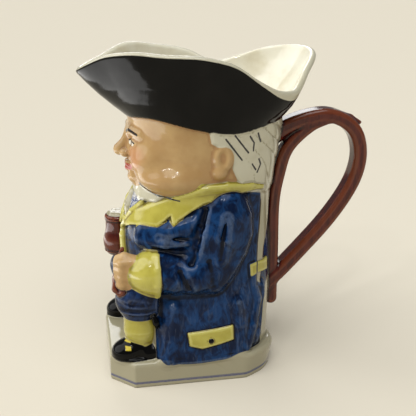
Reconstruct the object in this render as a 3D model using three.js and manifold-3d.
// A toby jug in glazed earthenware: a seated man in a long coat, whose cocked hat is the jug's open rim.
// It is one casting, hollow from the hat down to the floor inside the plinth, with a strap handle at the back.
// Millimetres. +X is the figure's left, +Y its back, +Z up. The origin is the middle of the underside.
import * as THREE from "three";
import { mergeVertices } from "three/addons/utils/BufferGeometryUtils.js";
import Module from "manifold-3d";

const wasm = await Module();
wasm.setup();

// The plinth that the figure sits on, a block with canted corners
const PLINTH_WIDTH = 92;
const PLINTH_LENGTH = 112;
const PLINTH_HEIGHT = 18;
const PLINTH_FRONT_CUT = 15.5;
const PLINTH_BACK_CUT = 21;
const PLINTH_EDGE = 1.5;

// The figure above the plinth. Its pose and carving are kept in shares of its own height
const FIGURE_HEIGHT = 200;
const CARVED_HEIGHT = 200;
const K = FIGURE_HEIGHT / CARVED_HEIGHT;

// The casting: its walls, the floor inside it and the rolled lip of the hat
const WALL = 4.5;
const FLOOR = 7;
const LIP_RADIUS = 2.4;

// The strap handle, and the spine that ties its two ends together down the figure's back
const HANDLE_WIDTH = 14;
const HANDLE_THICKNESS = 10;
const HANDLE_REACH = 122.6;
const SPINE_WIDTH = 12;
const SPINE_THICKNESS = 9;

// How fine the facets are
const SKIN_SIDES = 50;
const SKIN_LEVELS = 39;
const BODY_SIDES = 24;
const RIM_SIDES = 34;
const INSIDE_SIDES = 20;
const LUMP_SIDES = 7;
const LIMB_SIDES = 5;
const HANDLE_STEPS = 19;
const SPINE_STEPS = 8;

// Where the figure's upright axis stands, from the front (-Y) to the back, and the relief heights of its dress
const AXIS_Y = 10;
const SKIRT_RELIEF = 1.6;
const COLLAR_RELIEF = 2.2;
const FLAP_RELIEF = 3.2;
const HAIR_RELIEF = 1.8;
const QUEUE_RELIEF = 2.6;
const RIBBON_RELIEF = 3.8;

// How softly the forms of the figure run into one another, and how much closer the skin's columns stand
// in front than at the sides
const BLEND = 3.5;
const FRONT_CROWDING = 0.5;

// The body's outline at each height over the plinth: half width, front, back, and how square the plan is
// in front and behind (2 is an ellipse)
const BODY = [
  { z: -2, half: 45.5, front: -30, back: 58.5, squareFront: 5.5, squareBack: 2.3 },
  { z: 16, half: 44, front: -30, back: 59, squareFront: 5.0, squareBack: 2.3 },
  { z: 34, half: 41, front: -33, back: 59, squareFront: 3.6, squareBack: 2.3 },
  { z: 50, half: 38, front: -38, back: 59, squareFront: 2.7, squareBack: 2.3 },
  { z: 68, half: 37, front: -41, back: 59, squareFront: 2.4, squareBack: 2.3 },
  { z: 86, half: 37, front: -40.5, back: 59, squareFront: 2.4, squareBack: 2.3 },
  { z: 100, half: 35.5, front: -36.5, back: 59, squareFront: 2.2, squareBack: 2.3 },
  { z: 110, half: 34.5, front: -32.5, back: 60, squareFront: 2.1, squareBack: 2.3 },
  { z: 120, half: 37.5, front: -33, back: 62, squareFront: 2.1, squareBack: 2.3 },
  { z: 136, half: 38, front: -35, back: 64.5, squareFront: 2.1, squareBack: 2.3 },
  { z: 152, half: 39.5, front: -36.5, back: 65, squareFront: 2.1, squareBack: 2.3 },
  { z: 166, half: 42, front: -37.5, back: 63, squareFront: 2.2, squareBack: 2.3 },
];
const BODY_TOP = 166;

// The hat's rim, by its bearing from the front round the figure's left: reach from the axis and height
const RIM = [
  { bearing: 0, reach: 78, z: 187 }, // the front corner
  { bearing: 24, reach: 66.5, z: 198 },
  { bearing: 40, reach: 60.5, z: 200.6 }, // the left panel's crest
  { bearing: 58, reach: 54.5, z: 199.6 },
  { bearing: 88, reach: 49.5, z: 197.6 },
  { bearing: 108, reach: 51, z: 192.5 },
  { bearing: 127, reach: 55, z: 181.5 },
  { bearing: 142, reach: 60.5, z: 174.5 },
  { bearing: 154, reach: 66, z: 174 }, // the left back dip
  { bearing: 168, reach: 71.5, z: 184 },
  { bearing: 182, reach: 79.5, z: 193 }, // the back corner
  { bearing: 196, reach: 78, z: 194.8 },
  { bearing: 211, reach: 68, z: 192.5 },
  { bearing: 228, reach: 58, z: 186.5 },
  { bearing: 246, reach: 51.5, z: 182 }, // the right dip
  { bearing: 270, reach: 48.5, z: 190 },
  { bearing: 300, reach: 51.5, z: 195 },
  { bearing: 322, reach: 58, z: 197.4 }, // the right panel's crest
  { bearing: 343, reach: 67, z: 191.4 },
];

// The line round the head where the hat's brim starts: how far it stands off the head, and its height
const BRIM_STAND_OFF = 2.2;
const BRIM_SWELL = 1.6;
const BRIM_LINE = [
  { bearing: 0, z: 160 },
  { bearing: 44, z: 163 },
  { bearing: 78, z: 157.5 },
  { bearing: 112, z: 153 },
  { bearing: 145, z: 156.5 },
  { bearing: 180, z: 157 },
  { bearing: 215, z: 156.5 },
  { bearing: 248, z: 153 },
  { bearing: 282, z: 157.5 },
  { bearing: 316, z: 163 },
];

const place = (x, y, z) => new THREE.Vector3(x * K, y * K, PLINTH_HEIGHT + z * K);

// A closed three.js geometry as a solid for joining and cutting
function solid(geometry, tolerance = 1e-4) {
  const bare = geometry.index ? geometry.toNonIndexed() : geometry.clone();
  const g = new THREE.BufferGeometry().setAttribute("position", bare.getAttribute("position"));
  const merged = mergeVertices(g, tolerance);
  const made = new wasm.Manifold(
    new wasm.Mesh({
      numProp: 3,
      vertProperties: new Float32Array(merged.attributes.position.array),
      triVerts: new Uint32Array(merged.index.array),
    }),
  );
  return made;
}

const join = (...solids) => solids.flat().reduce((a, b) => a.add(b));

// The same geometry with every point moved by a function
function warp(geometry, move) {
  const at = geometry.attributes.position;
  const p = new THREE.Vector3();
  for (let i = 0; i < at.count; i++) {
    p.fromBufferAttribute(at, i);
    move(p);
    at.setXYZ(i, p.x, p.y, p.z);
  }
  return geometry;
}

// A smooth value between stations, each with the key and the fields asked for; a loop closes on itself
function between(stations, key, field, value, loop = 0) {
  const n = stations.length;
  let i = 0;
  while (i < n - 1 && stations[i + 1][key] <= value) i++;
  const station = (j) => {
    const turns = loop ? Math.floor(j / n) : 0;
    const s = stations[loop ? j - turns * n : Math.min(Math.max(j, 0), n - 1)];
    return { k: s[key] + turns * loop, v: s[field] };
  };
  const [a, b, c, d] = [station(i - 1), station(i), station(i + 1), station(i + 2)];
  if (c.k === b.k) return b.v;
  const t = Math.min(Math.max((value - b.k) / (c.k - b.k), 0), 1);
  const slope = (p, q) => (q.k === p.k ? 0 : (q.v - p.v) / (q.k - p.k)) * (c.k - b.k);
  const m0 = slope(a, c);
  const m1 = slope(b, d);
  const t2 = t * t;
  const t3 = t2 * t;
  return b.v * (2 * t3 - 3 * t2 + 1) + m0 * (t3 - 2 * t2 + t) + c.v * (3 * t2 - 2 * t3) + m1 * (t3 - t2);
}

// How far the body reaches from its axis at a height, along a bearing from the front (radians)
function bodyReach(z, bearing) {
  const half = between(BODY, "z", "half", z);
  const behind = Math.cos(bearing) < 0;
  const depth = behind ? between(BODY, "z", "back", z) - AXIS_Y : AXIS_Y - between(BODY, "z", "front", z);
  const square = between(BODY, "z", behind ? "squareBack" : "squareFront", z);
  const side = Math.abs(Math.sin(bearing)) / half;
  const along = Math.abs(Math.cos(bearing)) / depth;
  return (side ** square + along ** square) ** (-1 / square);
}

// A point by bearing from the front, reach and height
const around = (bearing, reach, z) =>
  place(Math.sin(bearing) * reach, AXIS_Y - Math.cos(bearing) * reach, z);

// The body's own loft, grown by so much (or shrunk, for the inside), between two heights
function bodyLoft(grow, bottom, top, sides, levels) {
  const g = new THREE.CylinderGeometry(1, 1, 1, sides, levels);
  return solid(
    warp(g, (p) => {
      const bearing = Math.atan2(p.x, p.z);
      const z = bottom + (p.y + 0.5) * (top - bottom);
      const share = Math.hypot(p.x, p.z);
      p.copy(around(bearing, share * (bodyReach(z, bearing) + grow), z));
    }),
  );
}

const degrees = (radians) => ((radians * 180) / Math.PI + 360) % 360;
const rimReach = (bearing) => between(RIM, "bearing", "reach", degrees(bearing), 360);
const rimHeight = (bearing) => between(RIM, "bearing", "z", degrees(bearing), 360);
const brimHeight = (bearing) => between(BRIM_LINE, "bearing", "z", degrees(bearing), 360);

// A point of the hat's wall: up is 0 at the head and 1 at the rim, and inset is how far in from its outside
function brim(bearing, up, inset) {
  const low = brimHeight(bearing);
  const from = bodyReach(low, bearing) + BRIM_STAND_OFF;
  const swell = BRIM_SWELL * Math.sin(Math.PI * up);
  const reach = from + (rimReach(bearing) - from) * up + swell;
  return around(bearing, reach - inset / K, low + (rimHeight(bearing) - low) * up);
}

// The cocked hat: one ring of wall with a rolled lip. Each ring of the lathe is a station of its section
function hat() {
  const lipTurns = [-0.3, 0.2, 0.8, 1.3].map((turn) => turn * Math.PI);
  const lip = lipTurns.map((turn) => ({
    up: 1,
    inset: WALL / 2 - Math.cos(turn) * LIP_RADIUS,
    lift: Math.sin(turn) * LIP_RADIUS,
  }));
  const section = [
    { up: -0.04, inset: BRIM_STAND_OFF + 1, lift: 0 },
    { up: 0, inset: 0, lift: 0 },
    { up: 0.5, inset: 0, lift: 0 },
    ...lip,
    { up: 0.6, inset: WALL, lift: 0 },
    { up: 0.25, inset: WALL, lift: 0 },
  ];
  const rings = [...section.keys(), 0].map((i) => new THREE.Vector2(1, i));
  return solid(
    warp(new THREE.LatheGeometry(rings, RIM_SIDES), (p) => {
      const { up, inset, lift } = section[Math.round(p.y)];
      p.copy(brim(Math.atan2(p.x, p.z), up, inset));
      p.z += lift;
    }),
  );
}

// The hollow, from the floor inside the plinth to the hat's mouth
const inside = () =>
  bodyLoft(-WALL / K, (FLOOR - PLINTH_HEIGHT) / K, BODY_TOP + 8, INSIDE_SIDES, 7);

// A block with canted corners and a small bevel at its upper edge
function plinth() {
  const [w, l] = [PLINTH_WIDTH / 2, PLINTH_LENGTH / 2];
  const [f, b] = [PLINTH_FRONT_CUT, PLINTH_BACK_CUT];
  const outline = new THREE.Shape([
    new THREE.Vector2(w - f, -l),
    new THREE.Vector2(w, -l + f),
    new THREE.Vector2(w, l - b),
    new THREE.Vector2(w - b * 0.45, l - b * 0.32),
    new THREE.Vector2(w - b, l),
    new THREE.Vector2(b - w, l),
    new THREE.Vector2(b * 0.45 - w, l - b * 0.32),
    new THREE.Vector2(-w, l - b),
    new THREE.Vector2(-w, -l + f),
    new THREE.Vector2(f - w, -l),
  ]);
  const slab = new THREE.ExtrudeGeometry(outline, {
    depth: PLINTH_HEIGHT - PLINTH_EDGE,
    bevelThickness: PLINTH_EDGE,
    bevelSize: PLINTH_EDGE,
    bevelOffset: -PLINTH_EDGE,
    bevelSegments: 2,
  });
  // The bevel round the foot is pressed up square, so that the underside is flat to its edge
  const foot = new THREE.ExtrudeGeometry(outline, { depth: PLINTH_HEIGHT / 2, bevelEnabled: false });
  return solid(slab).subtract(below()).add(solid(foot));
}

// Everything under the foot
const below = () => solid(new THREE.BoxGeometry(300, 300, 60).translate(0, 0, -30));

// An egg-shaped lump
function lump(x, y, z, rx, ry, rz, sides = LUMP_SIDES) {
  const g = new THREE.SphereGeometry(1, sides, Math.round(sides * 0.6));
  g.rotateX(Math.PI / 2).scale(rx * K, ry * K, rz * K);
  const c = place(x, y, z);
  return solid(g.translate(c.x, c.y, c.z));
}

// A limb: a round form through points [x, y, z, radius]
function limb(points, sides = LIMB_SIDES) {
  const at = points.map(([x, y, z]) => place(x, y, z));
  const last = points.length - 1;
  const along = at.map((_, i) => at[Math.min(i + 1, last)].clone().sub(at[Math.max(i - 1, 0)]).normalize());
  const turns = [new THREE.Quaternion().setFromUnitVectors(new THREE.Vector3(0, 1, 0), along[0])];
  for (let i = 1; i <= last; i++) {
    const bend = new THREE.Quaternion().setFromUnitVectors(along[i - 1], along[i]);
    turns.push(bend.multiply(turns[i - 1]));
  }
  const g = warp(new THREE.CylinderGeometry(1, 1, 1, sides, last), (p) => {
    const i = Math.round((p.y + 0.5) * last);
    p.y = 0;
    p.multiplyScalar(points[i][3] * K).applyQuaternion(turns[i]).add(at[i]);
  });
  return solid(g);
}

// The same solid on the figure's other side
function mirrored(made) {
  const { vertProperties, triVerts } = made.getMesh();
  const flipped = vertProperties.map((value, i) => (i % 3 ? value : -value));
  const turned = triVerts.map((_, i) => triVerts[i - (i % 3) + ((3 - (i % 3)) % 3)]);
  return new wasm.Manifold(new wasm.Mesh({ numProp: 3, vertProperties: flipped, triVerts: turned }));
}
const bothSides = (made) => [made, mirrored(made)];

// Dress carved on the body's left: an outline seen from the side, raised off the body by so much
function relief(outline, height, bottom, top, levels = 6) {
  const shape = new THREE.Shape(outline.map(([y, z]) => new THREE.Vector2(y * K, z * K)));
  const g = new THREE.ExtrudeGeometry(shape, { depth: 70 * K, bevelEnabled: false });
  // The outline's first axis is turned to +Y and its second to +Z, and the depth runs along +X
  warp(g, (p) => p.set(p.z, p.x, p.y + PLINTH_HEIGHT));
  return solid(g).intersect(bodyLoft(height, bottom, top, BODY_SIDES, levels));
}

// The coat's skirt, with its front edge behind the legs, a hem that rises at the back, and its folds
function coatSkirt() {
  const skirt = [
    [-25, -0.4],
    [-10, -1.4],
    [18, -1.2],
    [30, 0.4],
    [40, 4],
    [62, 8],
    [62, 38],
    [-25, 38],
  ];
  const flap = [
    [-5, 19.4],
    [25.4, 22],
    [25.6, 12.2],
    [12.3, 9.6],
    [4.4, 8],
    [-3.6, 10.6],
  ];
  const fold = (x0, y0, z0, x1, y1, z1) =>
    limb([
      [x0, y0, z0, 1],
      [x1, y1, z1, 3.4],
    ]);
  const folds = [
    fold(41, -19, 28, 44, -21.5, 1.6),
    fold(41.5, -10, 26, 44.6, -11.5, 1.6),
    fold(37, 32, 52, 40, 32.5, 4),
    fold(33, 40, 52, 35.6, 41, 7),
    fold(27, 48, 52, 28, 49.5, 10),
  ];
  return join(relief(skirt, SKIRT_RELIEF, -1.5, 39, 2), relief(flap, FLAP_RELIEF, 6, 24, 1), folds);
}

// The broad collar and the lapel, with the notch between them
function collar() {
  const outline = [
    [50, 117],
    [30, 119],
    [10, 119],
    [-2, 114.5],
    [-14, 109],
    [-27, 104],
    [-38, 96],
    [-44, 84],
    [-36, 90],
    [-27, 93.5],
    [-17.5, 94],
    [-15.5, 102],
    [-13, 95.3],
    [4, 104.5],
    [18, 110.5],
    [31, 113],
    [50, 111],
  ];
  return relief(outline, COLLAR_RELIEF, 82, 120, 3);
}

// The coat's left front, which laps over the right and ends in a band
const coatFront = () =>
  limb([
    [6, -38, 92, 3],
    [5, -41, 72, 3],
    [4.5, -38, 50, 3],
  ]);

// A form of the figure: lumps, each with its middle and half sizes, of which the farthest out counts
const egg = (x, y, z, rx, ry, rz) => [{ x, y, z, rx, ry, rz }];

// The same for a round form through points [x, y, z, radius], as a row of balls
function roll(points) {
  const balls = [];
  for (let i = 1; i < points.length; i++) {
    const [from, to] = [points[i - 1], points[i]];
    for (let step = 0; step <= 6; step++) {
      const [x, y, z, r] = from.map((value, axis) => value + ((to[axis] - value) * step) / 6);
      balls.push({ x, y, z, rx: r, ry: r, rz: r });
    }
  }
  return balls;
}

// Both arms: shoulder, elbow, forearm, the broad cuff cut off square behind, and the swell of the cloth
const CUFF_BACK = -22.4;
const cuff = { x: 33.4, y: -21.5, z: 61.5, rx: 15.8, ry: 21.5, rz: 17.6, back: CUFF_BACK };
const SLEEVE = [
  egg(30.5, 21.5, 88, 16, 17.6, 29),
  egg(32.5, 11.5, 62.5, 15, 18.5, 18.5),
  roll([
    [33, 8, 57.5, 14],
    [34, -10, 58.5, 13.8],
    [34, -23, 61, 14.2],
  ]),
  [cuff],
  roll([
    [27, -33, 83, 4],
    [35, -17, 82, 5.6],
    [37, -3, 83, 4.5],
  ]),
  roll([
    [27, -31, 93, 4],
    [34, -14, 93, 5.6],
    [36, 1, 95, 4.5],
  ]),
  roll([
    [36, 9, 99, 4],
    [41, 8, 87, 5.6],
    [42, 5, 76, 4],
  ]),
];

// Breeches, stocking and shoe
const LEG = [
  roll([
    [26, -10, 42, 15],
    [27.5, -33, 41.5, 15.2],
    [28.5, -39, 40, 12],
  ]),
  roll([
    [28.5, -33, 42, 14.5],
    [29, -34.5, 31, 13.6],
  ]),
  roll([
    [29, -34.5, 28, 11.2],
    [29, -34.5, 17, 11.4],
    [30, -34, 4, 8.6],
  ]),
  egg(30, -43, 4, 9.8, 12.2, 8.8),
  egg(30, -31.5, 4.5, 8.8, 7.6, 8.4),
  egg(30, -40.5, 1, 10.8, 14.6, 3),
];

// The face, laid out in thirds: the foot of the nose is midway from the chin to the brow
const CHIN = 113;
const BROW = 148;
const THIRD = (BROW - CHIN) / 2;
const NOSE_FOOT = CHIN + THIRD;
const EYE = BROW - THIRD * 0.36;
const MOUTH = NOSE_FOOT - THIRD * 0.36;
const HEAD = [
  egg(0, -10, NOSE_FOOT + 6, 29, 28.5, 27),
  roll([
    [3, -35.5, BROW, 2.8],
    [11, -35, BROW + 1.4, 2.8],
    [19, -30, BROW + 0.4, 2.4],
  ]),
  roll([
    [0, -35.5, BROW - 1, 3.4],
    [0, -38.6, BROW - 8, 3.4],
    [0, -42.4, NOSE_FOOT + 4.6, 4.4],
  ]),
  egg(4.6, -38.4, NOSE_FOOT + 3, 3.2, 3.8, 2.9),
  egg(17, -21.5, NOSE_FOOT, 13, 14.5, 11),
  egg(0, -31.4, CHIN + 4.8, 10, 7, 6.2),
  egg(20, -7, CHIN + 8, 20, 25, 12),
  egg(0, -19, CHIN + 1, 20, 15, 7),
  egg(36.6, 19.5, NOSE_FOOT + 5.5, 5.2, 7, 10),
  egg(36.8, 17.4, NOSE_FOOT - 4, 4.4, 4.8, 4.6),
];

// How far a form reaches from the body's axis at a height, along a bearing from the front
function formReach(form, z, bearing) {
  let farthest = 0;
  for (const lump of form) {
    const up = (z - lump.z) / lump.rz;
    if (Math.abs(up) >= 1) continue;
    const girth = Math.sqrt(1 - up * up);
    const [rx, ry] = [lump.rx * girth, lump.ry * girth];
    const [wayX, wayY] = [Math.sin(bearing) / rx, -Math.cos(bearing) / ry];
    const [fromX, fromY] = [-lump.x / rx, (AXIS_Y - lump.y) / ry];
    const a = wayX * wayX + wayY * wayY;
    const b = wayX * fromX + wayY * fromY;
    const root = b * b - a * (fromX * fromX + fromY * fromY - 1);
    if (root <= 0) continue;
    const reach = (Math.sqrt(root) - b) / a;
    const behind = AXIS_Y - Math.cos(bearing) * reach > (lump.back ?? Infinity);
    if (!behind) farthest = Math.max(farthest, reach);
  }
  return farthest;
}

// How far the whole figure reaches: the body and its forms on both sides, run softly together
function figureReach(z, bearing) {
  const reaches = [...SLEEVE, ...LEG, ...HEAD].map((form) =>
    Math.max(formReach(form, z, bearing), formReach(form, z, -bearing)),
  );
  return reaches.reduce((reach, here) => {
    const near = Math.max(BLEND - Math.abs(reach - here), 0) / BLEND;
    return Math.max(reach, here) + (near * near * BLEND) / 4;
  }, bodyReach(z, bearing));
}

// The figure's skin up to the hat, with its columns closer together in front
function figure() {
  const [bottom, top] = [-1.5, BODY_TOP];
  const g = new THREE.CylinderGeometry(1, 1, 1, SKIN_SIDES, SKIN_LEVELS);
  return solid(
    warp(g, (p) => {
      const turn = Math.atan2(p.x, p.z);
      const bearing = turn - FRONT_CROWDING * Math.sin(turn);
      const z = bottom + (p.y + 0.5) * (top - bottom);
      p.copy(around(bearing, Math.hypot(p.x, p.z) * figureReach(z, bearing), z));
    }),
  );
}

// A hand closed round something upright: palm, four fingers one above another, and the thumb over them
function fist(x, y, z, side) {
  const fingers = [0, 1, 2, 3].map((i) => {
    const h = z + 6.8 - i * 5.1;
    return limb([
      [x + 5 * side, y + 4, h, 3],
      [x + 3.4 * side, y - 4.6, h - 0.4, 3.2],
      [x - 5.5 * side, y - 4, h - 1, 2.5],
    ]);
  });
  const thumb = limb([
    [x + 1.5 * side, y + 5, z + 8, 3.8],
    [x - 1 * side, y - 4, z + 10, 2.7],
  ]);
  return join(lump(x, y + 1, z, 6.6, 7.8, 11), fingers, thumb);
}

// The short pipe in the left hand, whose bowl curls up under the little finger
const pipe = () =>
  limb([
    [29, -45, 76, 1.6],
    [29.5, -49, 62, 2.2],
    [31, -51, 50, 2.6],
    [33, -46.5, 46, 3.6],
  ]);

// The foaming mug that stands on the right knee, with its handle in the right hand
const MUG = { x: -17, y: -44, foot: 55, height: 29, rim: 9, belly: 10.6, bottom: 8 };
function mug() {
  const { foot, height, rim, belly, bottom } = MUG;
  const v = (r, h) => new THREE.Vector2(r * K, h * K);
  const profile = [
    v(0, 0),
    v(bottom, 0),
    v(belly - 0.6, height * 0.15),
    v(belly, height * 0.33),
    v(rim - 0.4, height * 0.65),
    v(rim, height),
    v(rim - 1.6, height),
    v(rim - 1.8, height - 1.2),
    v(rim * 0.45, height + 1.6),
    v(0, height + 2),
  ];
  const g = new THREE.LatheGeometry(profile, 11).rotateX(Math.PI / 2);
  const c = place(MUG.x, MUG.y, foot);
  const ear = limb([
    [MUG.x - 8, MUG.y, foot + 25, 2],
    [MUG.x - 14, MUG.y, foot + 22, 2],
    [MUG.x - 14, MUG.y, foot + 9, 2],
    [MUG.x - 8, MUG.y, foot + 5, 2],
  ], 5);
  return solid(g.translate(c.x, c.y, c.z)).add(ear);
}

// What is too small for the skin: the lips, the eyes and the buckles of the shoes
function trim() {
  const lips = [1.2, -1.9].map((up) =>
    limb([
      [-6.5, -33.5, MOUTH + up * 0.5, 1.6],
      [0, -37.2, MOUTH + up, 2.1],
      [6.5, -33.5, MOUTH + up * 0.5, 1.6],
    ], 6),
  );
  const eyes = bothSides(lump(11.5, -33, EYE, 5.4, 4.2, 3.4, 6));
  const buckles = bothSides(lump(30, -45.5, 10.8, 4.6, 4, 2.6, 6));
  return join(lips, eyes, buckles);
}

// The wig: a raised mass behind the ears, long locks combed back and down, and a queue tied with a ribbon
function hair() {
  const mass = [
    [9, 160],
    [68, 160],
    [68, 107],
    [46, 108],
    [30, 118],
    [26, 128],
    [25, 137],
    [12, 146],
  ];
  const queue = [
    [44.6, 114],
    [68, 114],
    [68, 32],
    [52, 36],
    [44, 58],
  ];
  const ribbon = [
    [39, 61.4],
    [49.6, 66.2],
    [68, 68.4],
    [68, 60],
    [49.8, 57.8],
    [39.4, 53.8],
  ];
  const locks = [0, 1].map((i) =>
    limb([
      [38.4 - i * 5.6, 28 + i * 16, 152 - i * 5, 2],
      [37 - i * 7, 37 + i * 13, 134 - i * 5, 4],
      [33 - i * 10, 46 + i * 8, 114, 2],
    ]),
  );
  return join(
    relief(mass, HAIR_RELIEF, 105, 161, 3),
    relief(queue, QUEUE_RELIEF, 30, 115, 3),
    relief(ribbon, RIBBON_RELIEF, 52, 70, 1),
    locks,
  );
}

// A strap through points [y, z] in the figure's middle plane, with rounded edges
function strap(points, width, thickness, steps) {
  const [w, t] = [width / 2, thickness / 2];
  const cut = t * 0.55;
  const section = new THREE.Shape([
    new THREE.Vector2(w - cut, -t),
    new THREE.Vector2(w, -t + cut),
    new THREE.Vector2(w, t - cut),
    new THREE.Vector2(w - cut, t),
    new THREE.Vector2(cut - w, t),
    new THREE.Vector2(-w, t - cut),
    new THREE.Vector2(-w, -t + cut),
    new THREE.Vector2(cut - w, -t),
  ]);
  // The path is drawn flat in XY, where the section's first axis comes out upright, and then stood up
  const path = new THREE.CatmullRomCurve3(
    points.map(([y, z]) => new THREE.Vector3(y, z, 0)),
    false,
    "centripetal",
  );
  const g = new THREE.ExtrudeGeometry(section, { steps, extrudePath: path, bevelEnabled: false });
  warp(g, (p) => p.set(p.z, p.x, p.y));
  return solid(g);
}

// The handle springs from under the hat, swings out and comes back low on the spine. Its places are given as
// shares of the way out to its back and of the way up from its lower end
function handle() {
  const top = PLINTH_HEIGHT + 152.5 * K;
  const low = PLINTH_HEIGHT + 45 * K;
  const root = 58 * K;
  const out = HANDLE_REACH;
  const at = (share, up) => [root + (out - root) * share, low + (top - low) * up];
  const loop = strap(
    [
      at(-0.05, 0.88),
      at(0.2, 0.95),
      at(0.42, 0.99),
      at(0.63, 1),
      at(0.82, 0.955),
      at(0.95, 0.87),
      at(1, 0.74),
      at(0.965, 0.6),
      at(0.85, 0.455),
      at(0.65, 0.285),
      at(0.4, 0.115),
      at(0.14, -0.05),
      at(0.0, -0.12),
    ],
    HANDLE_WIDTH,
    HANDLE_THICKNESS,
    HANDLE_STEPS,
  );
  const stand = 59 * K + SPINE_THICKNESS / 2 - 1.5;
  const spine = strap(
    [
      [stand, PLINTH_HEIGHT + 19 * K],
      [stand, PLINTH_HEIGHT + 60 * K],
      [stand, PLINTH_HEIGHT + 92 * K],
      [stand + 3, PLINTH_HEIGHT + 112 * K],
      at(0.2, 0.8),
      at(0.42, 0.93),
      at(0.62, 0.985),
    ],
    SPINE_WIDTH,
    SPINE_THICKNESS,
    SPINE_STEPS,
  );
  const web = limb([
    [0, 60, 138, 7],
    [0, 73, 145, 5],
  ]);
  const tip = (share, up) => {
    const [y, z] = at(share, up);
    return [0, y / K, (z - PLINTH_HEIGHT) / K];
  };
  const thumbRest = limb([
    [...tip(0.78, 0.96), 5],
    [...tip(1.0, 1.01), 1.4],
  ]);
  return join(loop, spine, web, thumbRest);
}

function jug() {
  const left = join(coatSkirt(), collar(), hair());
  const outside = join(
    plinth(),
    figure(),
    left,
    mirrored(left),
    coatFront(),
    trim(),
    hat(),
    fist(30.5, -42.8, 61, 1),
    pipe(),
    fist(-33, -41, 68, -1),
    mug(),
    handle(),
  );
  return fillPockets(outside.subtract(inside()));
}

// Small pockets shut in where forms meet are filled, as they would be in one casting
function fillPockets(made) {
  const bodies = solid(geometryOf(made), 1e-3).decompose();
  return join(bodies.filter((body) => body.volume() > 0));
}

function geometryOf(made) {
  const { vertProperties, triVerts } = made.getMesh();
  return new THREE.BufferGeometry()
    .setAttribute("position", new THREE.BufferAttribute(vertProperties, 3))
    .setIndex(new THREE.BufferAttribute(triVerts, 1));
}

const group = new THREE.Group();
const glaze = new THREE.MeshStandardMaterial({ color: 0x243f70, roughness: 0.12, metalness: 0 });
const mesh = new THREE.Mesh(geometryOf(jug()), glaze);
mesh.name = "toby_jug";
group.add(mesh);

export default group;
